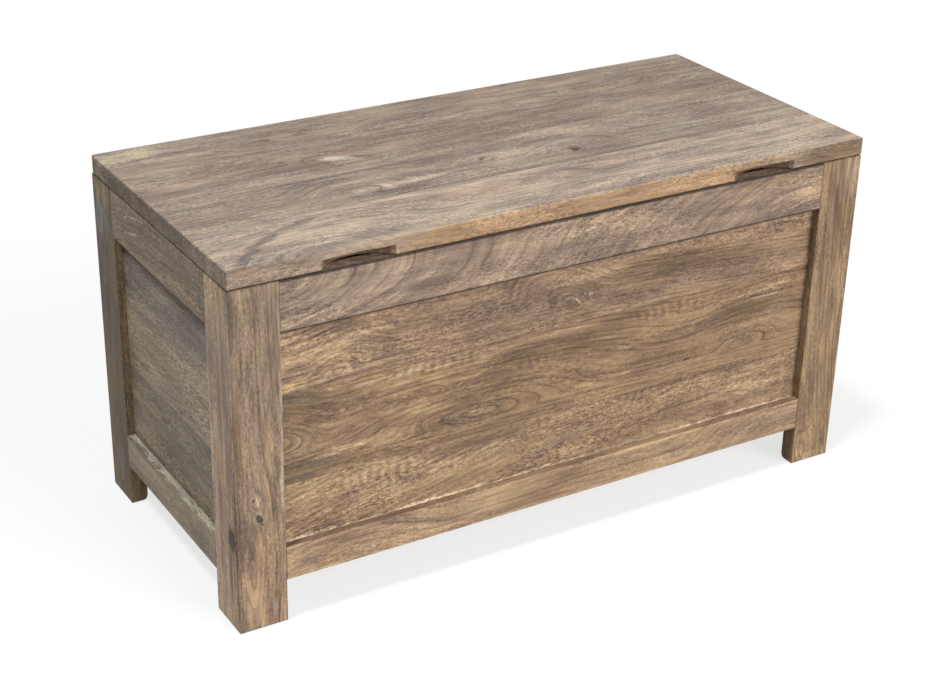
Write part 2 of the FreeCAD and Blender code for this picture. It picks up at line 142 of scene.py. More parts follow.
def wood(node, along, across, tone, heart, eyes=(), lines=150.0, line_depth=0.5, speckle=0.8, worn=0.35,
         dust_and_shade=0.22, stains=(), marks=(), ripples=(), edge_stains=()):
    """Finishes a board: along and across are the axes of its grain and of its width.

    Places on the face are given along and then across the grain, in metres. The growth rings lie round the
    heart of the tree, (along, across, stretch, turn), which may be off the board, and round each eye, which
    also has the half width of its rings. There are as many rings to a metre as lines says. A stain or a
    mark is a colour, an ellipse (along, across, half length, half width, turn) and its strength. A ripple
    is an ellipse of bars across the grain. Edge stains lie on the board's narrow side, with the place
    through its thickness for the place across it; a few of them paint shade in a recess and light on a
    ledge.
    The lines, the speckle, the worn edges, and the dust and painted shade along the edges each have a
    strength.
    """
    through = ({"X", "Y", "Z"} - {along, across}).pop()
    low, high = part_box(node)
    material, shader, start = blank(node + "_wood")

    # Each board lies at a place of its own in the noise.
    seed = 41.0 * low.x + 67.0 * low.y + 97.0 * low.z + 50.0
    place = start.node("TexCoord", {}, {}, "Object")
    u = start.node("SeparateXYZ", {}, {0: place}, along)
    v = start.node("SeparateXYZ", {}, {0: place}, across)
    w = start.node("SeparateXYZ", {}, {0: place}, through)
    flat = start.node("CombineXYZ", {}, {0: u, 1: v, 2: w})

    def streaks(where, length, width, shift, detail=3.0):
        """Noise around 0 whose grains have this length along the wood and this width across it."""
        sockets = {"Vector": where, "Location": (seed + shift, shift, 0.0)}
        sockets["Scale"] = (1.0 / length, 1.0 / width, 1.0 / width)
        spot = start.node("Mapping", {}, sockets)
        texture = {"Vector": spot, "Scale": 1.0, "Detail": detail, "Roughness": 0.6}
        return start.node("TexNoise", {}, texture) - 0.5

    def reach(where, place_along, place_across, half_length, half_width, turn):
        """How far a point is from the middle of an ellipse on the face, whose rim is at 1."""
        sockets = {"Vector": where, "Location": (place_along, place_across, 0.0)}
        sockets["Rotation"] = (0.0, 0.0, math.radians(turn))
        sockets["Scale"] = (half_length, half_width, 10.0)
        spot = start.node("Mapping", {"vector_type": "TEXTURE"}, sockets)
        return start.node("VectorMath", {"operation": "LENGTH"}, {0: spot}, "Value")

    # The growth rings sway along the board and close round its eyes, where they are clearest.
    sway = streaks(flat, 0.50, 0.12, 1.0, 1.0)
    tremor = streaks(flat, 0.08, 0.016, 2.0, 1.0)
    bent = v + 0.022 * sway + 0.005 * tremor
    face = start.node("CombineXYZ", {}, {0: u, 1: bent})
    wavering = u + 0.03 * tremor
    spot = start.node("CombineXYZ", {}, {0: wavering, 1: v + 0.006 * tremor})
    heart_along, heart_across, heart_stretch, heart_turn = heart
    depth = reach(face, heart_along, heart_across, heart_stretch, 1.0, heart_turn)
    upright = Matrix.Rotation(-math.radians(heart_turn), 2)
    close = 0.0
    for eye_along, eye_across, eye_stretch, eye_turn, eye_width in eyes:
        apart = upright @ Vector((eye_along - heart_along, eye_across - heart_across))
        eye_depth = math.hypot(apart.x / heart_stretch, apart.y)
        around = reach(face, eye_along, eye_across, eye_stretch, 1.0, eye_turn)
        blend = min(0.020, 0.6 * eye_width)
        depth = depth.maths("SMOOTH_MIN", around + (eye_depth - eye_width), blend)
        close = around.ramp(0.7 * eye_width, 1.5 * eye_width, 1.0, 0.0).maths("MAXIMUM", close)
    depth = depth + 0.6 * w
    flow = start.node("CombineXYZ", {}, {0: u, 1: depth, 2: w})
    level = start.node("CombineXYZ", {}, {0: u, 1: bent, 2: w})

    # The grain: drifts of plainer and of more speckled wood, broad streaks, fibres, threads, flecks, grit.
    drift = streaks(flat, 0.16, 0.03, 3.0)
    broad = streaks(level, 0.14, 0.014, 4.0)
    fibre = streaks(flow, 0.040, 0.0040, 5.0)
    thread = streaks(flow, 0.070, 0.0022, 9.0, 2.0)
    speckled = speckle * drift.ramp(-0.20, 0.20, 1.6, 0.4)
    fleck = streaks(level, 0.0070, 0.0026, 6.0, 2.0) * speckled
    grit = streaks(flat, 0.0030, 0.0022, 7.0, 1.0) * speckled

    def latewood(count):
        """Dark at the sharp edge of each growth ring and paler through it; the rings differ in strength."""
        phase = count * (depth + 0.0012 * fibre)
        ring = phase.maths("FLOOR") + seed
        chance = start.node("TexWhiteNoise", {"noise_dimensions": "1D"}, {"W": ring})
        strength = chance.maths("MAXIMUM", 0.5 * close)
        inside = phase.maths("FRACT")
        dark = inside.ramp(0.0, 0.34, 0.42, 0.0) + inside.ramp(0.0, 1.0, 0.27, 0.0)
        return (0.2 + 0.8 * strength) * dark

    line = latewood(lines) * drift.ramp(-0.15, 0.12, 0.3, 1.0).maths("MAXIMUM", close)
    band = latewood(0.25 * lines) * drift.ramp(-0.15, 0.12, 1.0, 0.3)

    # The stain took unevenly, on the face and on the narrow sides, and the grain varies it from plum to
    # gold. End grain drinks more of it.
    normal = start.node("TexCoord", {}, {}, "Normal")
    end_on = start.node("SeparateXYZ", {}, {0: normal}, along).maths("ABSOLUTE").ramp(0.5, 0.8)
    edge_on = start.node("SeparateXYZ", {}, {0: normal}, across).maths("ABSOLUTE").ramp(0.5, 0.8)
    side = start.node("CombineXYZ", {}, {0: wavering, 1: w})
    colour = start.node("CombineColor", {}, {0: tone[0], 1: tone[1], 2: tone[2]})
    for stain, *ellipse, strength in stains:
        spread = 1.0 - reach(spot, *ellipse) + 2.2 * fibre + 2.2 * thread + 0.8 * broad
        colour = (spread.ramp(0.0, 0.60) * strength).mixed(colour, stain)
    for stain, *ellipse, strength in edge_stains:
        spread = 1.0 - reach(side, *ellipse) + 1.6 * fibre
        colour = (spread.ramp(0.0, 0.45) * edge_on * strength).mixed(colour, stain)
    patch = streaks(level, 0.12, 0.032, 8.0)
    warmth = 0.9 * patch + 0.6 * broad + 0.8 * fleck + 0.4 * fibre
    cool = colour.tinted(0.74, 0.72, 0.77)
    warm = colour.tinted(1.30, 1.32, 1.22)
    colour = warmth.ramp(-0.32, 0.32).mixed(cool, warm)
    shade = 1.06 + 0.5 * patch + 0.6 * broad + 0.8 * fibre + 1.5 * fleck + 1.5 * grit
    if ripples:
        # A bar every 14 mm, a little aslant and shaky.
        bars = (440.0 * u + 60.0 * v + 9.0 * tremor).maths("SINE")
        for ellipse in ripples:
            shade = shade + 0.22 * bars * reach(spot, *ellipse, 0.0).ramp(0.2, 1.0, 1.0, 0.0)
    colour = colour.shaded(shade.maths("MAXIMUM", 0.35))
    colour = (1.6 * line_depth * (line + 0.4 * band)).mixed(colour, colour.shaded(0.42))
    for mark, *ellipse, strength in marks:
        colour = (reach(spot, *ellipse).ramp(0.55, 1.0, 1.0, 0.0) * strength).mixed(colour, mark)
    colour = end_on.mixed(colour, colour.shaded(0.72))

    # Handling has rubbed the sharp edges pale. Along the edges and joints the colour is darkened, partly
    # for dust in the joints and partly as painted shade, such as the shadow line under the front top rail.
    # The walls of a cut in the narrow side get a browner painted shade.
    def inset(coordinate, axis):
        """How far a point lies inside the nearer of the board's two ends on this axis."""
        index = "XYZ".index(axis)
        middle = (low[index] + high[index]) / 2
        half = (high[index] - low[index]) / 2
        return half - (coordinate - middle).maths("ABSOLUTE")

    inset_u = inset(u, along)
    inset_v = inset(v, across)
    inset_w = inset(w, through)
    larger = inset_u.maths("MAXIMUM", inset_v)
    edge = inset_u.maths("MINIMUM", inset_v).maths("MAXIMUM", larger.maths("MINIMUM", inset_w))
    rubbed = edge.ramp(0.0008, 0.0045, 1.0, 0.0) * drift.ramp(-0.2, 0.12) * worn
    colour = rubbed.mixed(colour, colour.shaded(1.45))
    # Painted shade along the edges and joints, together with dust.
    colour = (dust_and_shade * edge.ramp(0.0014, 0.0036, 1.0, 0.0)).mixed(colour, colour.shaded(0.18))
    # Painted shade on the walls of cuts in the narrow side, such as the inside of a finger pull.
    colour = (edge_on * inset_v.ramp(0.0040, 0.0060)).mixed(colour, colour.tinted(0.50, 0.42, 0.34))

    height = fibre + 0.8 * fleck + 0.5 * grit - 0.3 * line
    bump = start.node("Bump", {}, {"Strength": 0.15, "Distance": 0.0008, "Height": height})
    rough = 0.60 + 0.30 * fleck + 0.10 * line + 0.12 * end_on - 0.10 * rubbed
    colour.feeds(shader, "Base Color")
    rough.feeds(shader, "Roughness")
    bump.feeds(shader, "Normal")
    shader.inputs["Specular IOR Level"].default_value = 0.30
    finish(node, material)


honey = (0.50, 0.355, 0.225)
tan = (0.46, 0.31, 0.19)
bronze = (0.300, 0.195, 0.120)
plum = (0.25, 0.175, 0.13)
chestnut = (0.205, 0.135, 0.085)
umber = (0.19, 0.125, 0.075)
slate = (0.135, 0.104, 0.080)
cream = (0.60, 0.49, 0.38)
pitch = (0.05, 0.034, 0.024)

wood("front_panel_top_board", "X", "Z", (0.322, 0.217, 0.147), heart=(0.10, 0.20, 7.0, -3.0),
     eyes=[(0.0145, 0.3610, 2.2, -27.0, 0.024), (-0.345, 0.347, 2.0, 10.0, 0.014)],
     lines=170.0, dust_and_shade=0.15, speckle=0.75, line_depth=0.80,
     stains=[(honey, -0.370, 0.372, 0.140, 0.055, 0.0, 0.80),
             (plum, -0.130, 0.386, 0.100, 0.020, -6.0, 0.68),
             (chestnut, 0.210, 0.382, 0.150, 0.028, -2.0, 0.92),
             (plum, 0.150, 0.353, 0.090, 0.011, 3.0, 0.61),
             (tan, 0.050, 0.400, 0.060, 0.010, 3.0, 0.61),
             (umber, 0.043, 0.3815, 0.032, 0.0060, -7.0, 0.80),
             (slate, -0.018, 0.3715, 0.018, 0.0040, -50.0, 0.85),
             (umber, 0.013, 0.3600, 0.018, 0.0060, -22.0, 0.85),
             (cream, 0.013, 0.3700, 0.026, 0.0030, -26.0, 0.55),
             (cream, -0.018, 0.3870, 0.014, 0.0022, 62.0, 0.50),
             (umber, 0.018, 0.3400, 0.040, 0.0030, 4.0, 0.70),
             (tan, 0.390, 0.400, 0.060, 0.022, 0.0, 0.68)],
     marks=[(cream, 0.040, 0.370, 0.006, 0.003, -20.0, 0.55),
            (plum, -0.388, 0.345, 0.005, 0.006, 0.0, 0.45)])
wood("front_panel_middle_board", "X", "Z", (0.290, 0.190, 0.117), heart=(0.00, 0.05, 9.0, 0.0),
     eyes=[(-0.435, 0.262, 2.2, -6.0, 0.045),
           (-0.130, 0.234, 5.0, 0.0, 0.034),
           (0.315, 0.235, 3.5, 4.0, 0.018)],
     lines=150.0, dust_and_shade=0.15, speckle=0.60, line_depth=0.95,
     stains=[(tan, -0.290, 0.268, 0.160, 0.075, 0.0, 0.50),
             (plum, -0.405, 0.262, 0.055, 0.032, -8.0, 0.55),
             (slate, -0.405, 0.327, 0.060, 0.0064, -9.0, 0.82),
             (slate, -0.398, 0.317, 0.075, 0.0048, -11.0, 0.82),
             (umber, -0.385, 0.306, 0.080, 0.0048, -12.0, 0.75),
             (slate, -0.390, 0.223, 0.085, 0.0080, -3.0, 0.80),
             (slate, -0.410, 0.208, 0.070, 0.0064, 0.0, 0.80),
             (umber, -0.340, 0.212, 0.110, 0.0064, -4.0, 0.80),
             (honey, -0.340, 0.232, 0.040, 0.007, 0.0, 0.68),
             (plum, -0.150, 0.232, 0.075, 0.020, 0.0, 0.54),
             (honey, -0.180, 0.322, 0.160, 0.010, 0.0, 0.54),
             (umber, -0.230, 0.280, 0.060, 0.0048, -3.0, 0.95),
             (umber, -0.065, 0.296, 0.060, 0.0096, -2.0, 0.95),
             (umber, 0.050, 0.306, 0.100, 0.0080, -1.0, 0.85),
             (umber, 0.060, 0.291, 0.090, 0.0064, -2.0, 0.85),
             (tan, 0.060, 0.228, 0.060, 0.010, 0.0, 0.54),
             (umber, 0.340, 0.289, 0.110, 0.0064, 0.0, 0.95),
             (umber, 0.350, 0.278, 0.100, 0.0032, 0.0, 0.95),
             (umber, 0.340, 0.268, 0.110, 0.0048, -1.0, 0.95),
             (plum, 0.385, 0.275, 0.022, 0.024, 0.0, 0.61),
             (honey, 0.340, 0.306, 0.060, 0.012, 0.0, 0.61),
             (plum, 0.310, 0.236, 0.030, 0.008, 0.0, 0.68),
             (umber, 0.200, 0.244, 0.070, 0.0064, 0.0, 0.76)],
     marks=[(pitch, 0.218, 0.228, 0.010, 0.0016, 4.0, 0.85),
            (umber, -0.270, 0.281, 0.006, 0.003, 0.0, 0.70)],
     ripples=[(0.170, 0.315, 0.110, 0.018), (-0.200, 0.320, 0.110, 0.014), (-0.050, 0.288, 0.060, 0.012)])
wood("front_panel_bottom_board", "X", "Z", (0.344, 0.229, 0.144), heart=(-0.020, 0.070, 7.0, 10.0),
     lines=120.0, dust_and_shade=0.15, speckle=0.90, line_depth=0.55,
     stains=[(honey, -0.310, 0.168, 0.150, 0.040, 0.0, 0.35),
             (bronze, 0.080, 0.155, 0.200, 0.045, 0.0, 0.40),
             (honey, -0.110, 0.177, 0.050, 0.008, 0.0, 0.81),
             (umber, -0.100, 0.190, 0.100, 0.0096, 0.0, 0.68),
             (plum, 0.000, 0.148, 0.100, 0.0096, 14.0, 0.85),
             (plum, -0.240, 0.155, 0.030, 0.014, 0.0, 0.47),
             (plum, -0.360, 0.123, 0.020, 0.0064, 0.0, 0.95),
             (honey, 0.350, 0.155, 0.080, 0.030, 0.0, 0.47),
             (umber, 0.230, 0.197, 0.220, 0.0064, -1.0, 0.85),
             (honey, -0.410, 0.125, 0.040, 0.010, 0.0, 0.54),
             (cream, 0.000, 0.1150, 3.000, 0.0032, 0.0, 0.80)],
     ripples=[(-0.270, 0.178, 0.130, 0.024), (-0.010, 0.188, 0.070, 0.014), (0.130, 0.190, 0.060, 0.012)])


# The front frame: two leg boards and two rails of the same wood, mortised and tenoned, glued, and planed
# flush. The left leg has a knot that fell out, and the rails are sawn through wide growth rings.

taupe = (0.385, 0.28, 0.21)
mauve = (0.41, 0.31, 0.24)
cocoa = (0.320, 0.205, 0.128)
bone = (0.42, 0.37, 0.31)
ash = (0.165, 0.140, 0.114)
ledge_brown_and_shade = (0.200, 0.130, 0.085)
leg_side_rose = (0.470, 0.325, 0.225)
reveal_painted_shade = (0.250, 0.160, 0.088)

# Its edges are darkened strongly: dust in the joints, and a painted shadow along its lower edge above the
# recessed panel.
wood("front_top_rail", "X", "Z", (0.328, 0.235, 0.180), heart=(-0.450, 0.640, 3.0, 0.0),
     eyes=[(-0.455, 0.490, 3.0, 0.0, 0.085), (0.440, 0.515, 2.6, 8.0, 0.050)],
     lines=105.0, speckle=0.70, worn=0.10, dust_and_shade=1.0, line_depth=0.55,
     stains=[(honey, 0.400, 0.452, 0.060, 0.020, 0.0, 0.54),
             (tan, 0.350, 0.482, 0.070, 0.012, 0.0, 0.54),
             (tan, 0.050, 0.482, 0.060, 0.010, 0.0, 0.54),
             (mauve, -0.330, 0.465, 0.130, 0.032, 0.0, 0.70),
             (cream, 0.010, 0.472, 0.020, 0.006, 0.0, 0.28),
             (plum, 0.080, 0.452, 0.060, 0.008, -12.0, 0.47)])
wood("front_bottom_rail", "X", "Z", (0.440, 0.300, 0.191), heart=(0.0, -0.05, 8.0, 0.0),
     eyes=[(0.400, 0.058, 2.2, 6.0, 0.075), (-0.330, 0.050, 2.8, 0.0, 0.030)],
     lines=120.0, speckle=0.50, line_depth=0.65, worn=0.9, dust_and_shade=0.15,
     stains=[(honey, -0.280, 0.078, 0.080, 0.014, -6.0, 0.68),
             (plum, -0.225, 0.094, 0.110, 0.007, -15.0, 0.81),
             (plum, -0.390, 0.086, 0.030, 0.0096, 8.0, 0.76),
             (plum, 0.050, 0.082, 0.070, 0.014, -20.0, 0.60),
             (taupe, 0.360, 0.098, 0.080, 0.016, 0.0, 0.50),
             (honey, 0.310, 0.074, 0.120, 0.020, 0.0, 0.45),
             (honey, 0.170, 0.080, 0.060, 0.016, 0.0, 0.54),
             (honey, -0.113, 0.092, 0.012, 0.010, 0.0, 0.68),
             (cocoa, 0.030, 0.088, 0.190, 0.034, 0.0, 0.50)],
     marks=[(umber, 0.364, 0.101, 0.003, 0.0022, 0.0, 0.70),
            (umber, -0.171, 0.100, 0.003, 0.0018, 0.0, 0.70),
            (umber, -0.403, 0.103, 0.003, 0.0016, 0.0, 0.60),
            (umber, -0.112, 0.074, 0.004, 0.003, 0.0, 0.50)],
     # The brown edge stain on the rail's top, the ledge below the panel, is partly stain and partly painted
     # shade.
     edge_stains=[(ledge_brown_and_shade, 0.000, -0.2208, 2.000, 0.040, 0.0, 0.90)])
wood("front_leg_left", "Z", "X", (0.308, 0.220, 0.160), heart=(0.25, -0.60, 9.0, 0.0),
     eyes=[(0.090, -0.476, 6.0, 0.0, 0.022), (0.180, -0.467, 3.0, 0.0, 0.012)],
     lines=170.0, speckle=0.44, line_depth=0.75,
     stains=[(tan, 0.080, -0.460, 0.120, 0.050, 0.0, 0.61),
             (plum, 0.450, -0.463, 0.060, 0.008, 0.0, 0.54),
             (slate, 0.470, -0.496, 0.060, 0.0096, 0.0, 0.76),
             (umber, 0.280, -0.494, 0.110, 0.0064, 0.0, 0.76),
             (tan, 0.260, -0.450, 0.080, 0.010, 3.0, 0.47),
             (plum, 0.088, -0.441, 0.034, 0.012, 0.0, 0.74),
             (cream, 0.034, -0.446, 0.014, 0.004, 0.0, 0.61),
             (cream, 0.199, -0.466, 0.012, 0.008, 0.0, 0.20),
             (ash, 0.210, -0.466, 0.006, 0.004, 0.0, 0.50),
             (bone, 0.260, -0.4320, 0.220, 0.0030, 0.0, 0.60),
             (umber, 0.132, -0.481, 0.018, 0.0035, 0.0, 0.81)],
     marks=[(cream, 0.1700, -0.466, 0.0160, 0.0120, 0.0, 0.25),
            (pitch, 0.1710, -0.466, 0.0085, 0.0070, 0.0, 0.92),
            (ash, 0.1720, -0.4665, 0.0045, 0.0034, 0.0, 0.40),
            (pitch, 0.1625, -0.463, 0.0036, 0.0030, 0.0, 0.80),
            (pitch, 0.1990, -0.4735, 0.0030, 0.0026, 0.0, 0.85),
            (umber, 0.174, -0.488, 0.0040, 0.0012, 0.0, 0.60),
            (umber, 0.312, -0.4895, 0.0030, 0.0012, 0.0, 0.60),
            (umber, 0.023, -0.491, 0.0040, 0.0016, 0.0, 0.70)],
     edge_stains=[(leg_side_rose, 0.250, -0.2140, 0.500, 0.030, 0.0, 0.95),
                  (umber, 0.141, -0.2140, 0.026, 0.0140, 0.0, 0.85),
                  (pitch, 0.141, -0.2140, 0.021, 0.0120, 0.0, 0.97),
                  (umber, 0.120, -0.2262, 0.140, 0.0030, 0.0, 0.90),
                  (cream, 0.390, -0.2262, 0.130, 0.0030, 0.0, 0.80),
                  (plum, 0.085, -0.2060, 0.040, 0.0045, 0.0, 0.81)])
wood("front_leg_right", "Z", "X", (0.312, 0.209, 0.128), heart=(0.15, 0.56, 6.0, -6.0),
     eyes=[(0.020, 0.445, 3.0, -10.0, 0.020)],
     lines=130.0, speckle=0.50, line_depth=0.70,
     stains=[(plum, 0.440, 0.456, 0.070, 0.010, -11.0, 0.61),
             (umber, 0.440, 0.461, 0.080, 0.0035, -11.0, 0.95),
             (umber, 0.400, 0.472, 0.090, 0.0035, -12.0, 0.85),
             (taupe, 0.470, 0.478, 0.040, 0.020, 0.0, 0.68),
             (plum, 0.260, 0.448, 0.035, 0.008, 0.0, 0.47),
             (honey, 0.290, 0.492, 0.060, 0.010, 0.0, 0.47),
             (slate, 0.032, 0.487, 0.014, 0.005, -20.0, 0.81),
             (honey, 0.010, 0.460, 0.012, 0.040, 0.0, 0.47),
             (umber, 0.018, 0.458, 0.005, 0.010, 0.0, 0.54)],
     marks=[(umber, 0.463, 0.490, 0.004, 0.0013, 0.0, 0.70),
            (umber, 0.318, 0.488, 0.004, 0.0013, 0.0, 0.70),
            (umber, 0.180, 0.489, 0.004, 0.0013, 0.0, 0.70)],
     # The brown edge stain on the leg's inner narrow side, at the panel's recess, is painted shade.
     edge_stains=[(reveal_painted_shade, 0.250, -0.2143, 0.600, 0.050, 0.0, 0.95)])


# The left frame: a narrow front leg board that butts behind the front leg, a wider back leg, two rails and
# three panel boards, joined and glued like the front. It stands on the shaded side and its boards are toned
# greyer.

rose = (0.47, 0.325, 0.245)
sand = (0.66, 0.50, 0.36)
chalk = (0.50, 0.45, 0.38)
painted_ledge_light = (0.470, 0.435, 0.355)
pewter = (0.230, 0.240, 0.230)
lead = (0.215, 0.215, 0.200)
painted_shadow_brown = (0.07, 0.034, 0.014)
side_reveal_painted_shade = (0.320, 0.238, 0.145)
amber = (0.420, 0.260, 0.110)

wood("left_panel_top_board", "Y", "Z", (0.286, 0.228, 0.191), heart=(0.0, 0.55, 6.0, 4.0),
     eyes=[(0.090, 0.385, 3.0, -8.0, 0.016)],
     lines=150.0, speckle=1.1, line_depth=0.49,
     stains=[(ash, 0.090, 0.376, 0.055, 0.030, 0.0, 0.74),
             (ash, -0.060, 0.372, 0.080, 0.022, 0.0, 0.54),
             (plum, 0.080, 0.356, 0.070, 0.0096, 0.0, 0.76),
             (chalk, 0.130, 0.400, 0.040, 0.008, 0.0, 0.60),
             # The dark band along the top of the board, under the top rail, is a painted shadow.
             (painted_shadow_brown, 0.000, 0.412, 0.500, 0.016, 0.0, 0.95)])
wood("left_panel_middle_board", "Y", "Z", (0.362, 0.279, 0.207), heart=(-0.02, 0.16, 6.0, -8.0),
     lines=130.0, speckle=1.1, line_depth=0.49,
     stains=[(cream, -0.140, 0.330, 0.030, 0.020, 0.0, 0.34),
             (cream, 0.040, 0.270, 0.050, 0.004, -16.0, 0.34),
             (umber, 0.000, 0.278, 0.120, 0.0048, 0.0, 0.59)])
wood("left_panel_bottom_board", "Y", "Z", (0.257, 0.199, 0.147), heart=(0.0, 0.05, 5.0, 4.0),
     eyes=[(0.045, 0.201, 4.5, -4.0, 0.012)],
     lines=160.0, speckle=1.1, line_depth=0.70,
     stains=[(umber, 0.055, 0.206, 0.050, 0.0040, 2.0, 0.95),
             (umber, 0.030, 0.194, 0.030, 0.0040, -10.0, 0.95),
             (ash, 0.060, 0.215, 0.060, 0.006, 0.0, 0.47)])
wood("left_top_rail", "Y", "Z", (0.261, 0.192, 0.139), heart=(-0.06, 0.37, 3.2, 0.0),
     lines=110.0, speckle=1.1, line_depth=0.63,
     stains=[(cream, 0.105, 0.474, 0.075, 0.0022, -15.0, 0.54),
             (cream, 0.075, 0.458, 0.050, 0.0016, -14.0, 0.41),
             (tan, -0.080, 0.436, 0.080, 0.010, 0.0, 0.47)])
wood("left_bottom_rail", "Y", "Z", (0.334, 0.257, 0.182), heart=(0.0, 0.0, 6.0, 0.0),
     eyes=[(-0.060, 0.085, 3.0, 10.0, 0.020)],
     lines=110.0, speckle=0.6, line_depth=0.49,
     stains=[(ash, 0.080, 0.112, 0.090, 0.006, 0.0, 0.54)],
     # The pale edge stain on the rail's top, the ledge below the panel, is painted light falling from
     # above.
     edge_stains=[(painted_ledge_light, 0.000, -0.482, 0.400, 0.020, 0.0, 0.95),
                  (pewter, -0.140, -0.487, 0.050, 0.006, 0.0, 0.85)])
wood("left_leg_back", "Z", "Y", (0.134, 0.096, 0.059), heart=(0.25, 0.35, 8.0, 0.0),
     lines=150.0, speckle=0.7, line_depth=0.49,
     stains=[(lead, 0.440, 0.196, 0.040, 0.022, 0.0, 0.90),
             (tan, 0.480, 0.185, 0.020, 0.030, 0.0, 0.34),
             (ash, 0.055, 0.190, 0.040, 0.020, 0.0, 0.47)],
     # The first edge stain, on the leg's narrow side at the panel's recess, is painted shade.
     edge_stains=[(side_reveal_painted_shade, 0.250, -0.487, 0.600, 0.050, 0.0, 0.95),
                  (umber, 0.360, -0.484, 0.060, 0.008, 0.0, 0.80),
                  (umber, 0.150, -0.486, 0.050, 0.008, 0.0, 0.70),
                  (amber, 0.262, -0.480, 0.014, 0.006, 0.0, 0.90)])
wood("left_leg_front", "Z", "Y", (0.560, 0.391, 0.271), heart=(0.30, -0.10, 8.0, 4.0),
     lines=140.0, speckle=0.70, line_depth=0.49, worn=0.5,
     stains=[(rose, 0.320, -0.185, 0.120, 0.020, 0.0, 0.47),
             (honey, 0.450, -0.175, 0.050, 0.012, 0.0, 0.41),
             (taupe, 0.200, -0.180, 0.060, 0.010, 6.0, 0.60),
             (taupe, 0.390, -0.170, 0.050, 0.008, -8.0, 0.60),
             (sand, 0.260, -0.1590, 0.220, 0.0030, 0.0, 0.70)])


# The right frame: the left one's twin at the other end, with the same legs, rails and panel boards,
# mortised, tenoned and glued. Its boards have a quieter figure.

wood("right_panel_top_board", "Y", "Z", (0.350, 0.250, 0.170), heart=(0.0, 0.25, 6.0, 0.0),
     eyes=[(0.060, 0.380, 3.0, 6.0, 0.020)],
     lines=150.0, line_depth=0.45,
     stains=[(plum, -0.060, 0.375, 0.080, 0.016, 0.0, 0.61)])
wood("right_panel_middle_board", "Y", "Z", (0.380, 0.265, 0.172), heart=(-0.04, 0.275, 5.0, -5.0),
     lines=140.0, line_depth=0.45,
     stains=[(honey, 0.080, 0.310, 0.080, 0.016, 0.0, 0.54),
             (umber, 0.020, 0.250, 0.100, 0.004, 0.0, 0.68)],
     ripples=[(0.090, 0.290, 0.060, 0.020)])
wood("right_panel_bottom_board", "Y", "Z", (0.360, 0.248, 0.160), heart=(0.03, 0.08, 5.0, 8.0),
     lines=130.0, line_depth=0.40,
     stains=[(plum, 0.050, 0.190, 0.090, 0.008, 4.0, 0.61)])
wood("right_top_rail", "Y", "Z", (0.385, 0.280, 0.205), heart=(0.120, 0.500, 3.2, 0.0),
     lines=105.0, line_depth=0.50,
     stains=[(tan, -0.080, 0.450, 0.060, 0.014, 0.0, 0.54)])
wood("right_bottom_rail", "Y", "Z", (0.405, 0.285, 0.182), heart=(-0.100, 0.060, 4.0, 0.0),
     lines=120.0, line_depth=0.45,
     stains=[(plum, 0.060, 0.090, 0.080, 0.007, 8.0, 0.61)])
wood("right_leg_front", "Z", "Y", (0.370, 0.262, 0.180), heart=(0.30, -0.25, 8.0, 3.0),
     lines=140.0, line_depth=0.45,
     stains=[(plum, 0.420, -0.172, 0.060, 0.006, 0.0, 0.54)])
wood("right_leg_back", "Z", "Y", (0.345, 0.245, 0.165), heart=(0.14, 0.19, 7.0, -3.0),
     lines=150.0, line_depth=0.45,
     stains=[(honey, 0.280, 0.180, 0.090, 0.014, 0.0, 0.47)],
     marks=[(umber, 0.330, 0.200, 0.007, 0.005, 0.0, 0.75)])


# The back frame: two legs, two rails and three panel boards that fit between the side frames. It is joined
# and finished like them.

wood("back_panel_top_board", "X", "Z", (0.340, 0.240, 0.165), heart=(-0.15, 0.365, 6.0, 3.0),
     lines=150.0, line_depth=0.45,
     stains=[(honey, 0.220, 0.360, 0.140, 0.020, 0.0, 0.54),
             (plum, -0.300, 0.385, 0.100, 0.014, 0.0, 0.61)])
wood("back_panel_middle_board", "X", "Z", (0.365, 0.255, 0.170), heart=(0.18, 0.16, 8.0, 0.0),
     eyes=[(0.180, 0.260, 5.0, -3.0, 0.026), (-0.300, 0.270, 3.0, 0.0, 0.020)],
     lines=140.0, line_depth=0.45,
     stains=[(umber, -0.050, 0.290, 0.180, 0.005, 0.0, 0.68),
             (plum, 0.180, 0.258, 0.080, 0.016, 0.0, 0.47)])
wood("back_panel_bottom_board", "X", "Z", (0.350, 0.242, 0.158), heart=(-0.08, 0.140, 7.0, 4.0),
     lines=130.0, line_depth=0.45,
     stains=[(plum, 0.250, 0.180, 0.120, 0.010, -4.0, 0.61)],
     ripples=[(-0.250, 0.175, 0.090, 0.022)])
wood("back_top_rail", "X", "Z", (0.375, 0.272, 0.198), heart=(0.0, 0.30, 8.0, 0.0),
     eyes=[(0.260, 0.500, 3.4, 0.0, 0.100)],
     lines=105.0, line_depth=0.50,
     stains=[(tan, -0.250, 0.455, 0.120, 0.016, 0.0, 0.54)])
wood("back_bottom_rail", "X", "Z", (0.390, 0.275, 0.178), heart=(-0.28, 0.060, 6.0, 0.0),
     lines=120.0, line_depth=0.45,
     stains=[(plum, 0.120, 0.088, 0.140, 0.007, 5.0, 0.61)])
wood("back_leg_left", "Z", "X", (0.350, 0.250, 0.170), heart=(0.21, -0.56, 8.0, 3.0),
     lines=150.0, line_depth=0.45)
wood("back_leg_right", "Z", "X", (0.360, 0.255, 0.172), heart=(0.33, 0.56, 8.0, -3.0),
     lines=150.0, line_depth=0.45)


# The floor: four thin loose boards of the same wood, unstained and only sanded, that lie on four cleats
# screwed to the insides of the bottom rails.

